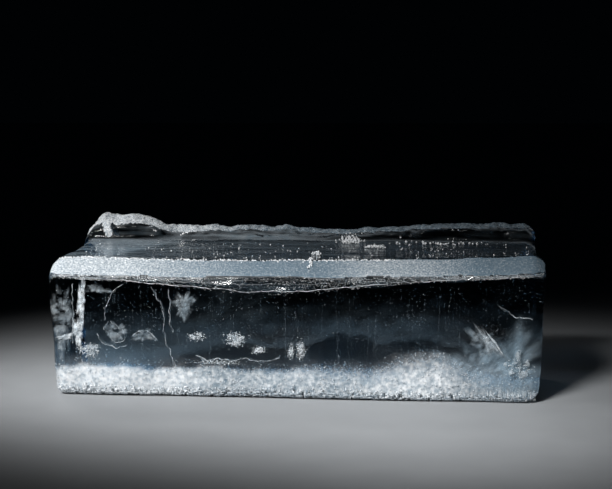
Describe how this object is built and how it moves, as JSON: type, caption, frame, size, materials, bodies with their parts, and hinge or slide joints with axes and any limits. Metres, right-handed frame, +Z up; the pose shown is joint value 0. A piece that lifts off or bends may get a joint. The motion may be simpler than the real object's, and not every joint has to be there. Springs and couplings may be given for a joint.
{
  "type": "ice block",
  "caption": "Long rectangular block of clear ice with rounded melted edges, a frosted bevel along the front, a wet shelf, a broken ridge along the back and a cloudy base.",
  "frame": {"origin": "on the flat base, under the middle of the block's outline", "axes": "+X along the block's length to the right as seen from the front, +Y from the bevelled front to the ridge at the back, +Z up"},
  "size_m": [0.2992, 0.1012, 0.1054],
  "materials": {
    "ice": "clear wet ice with frosted edges and a cloudy base"
  },
  "bodies": {
    "root": {"ice_block": "ice"}
  },
  "joints": []
}
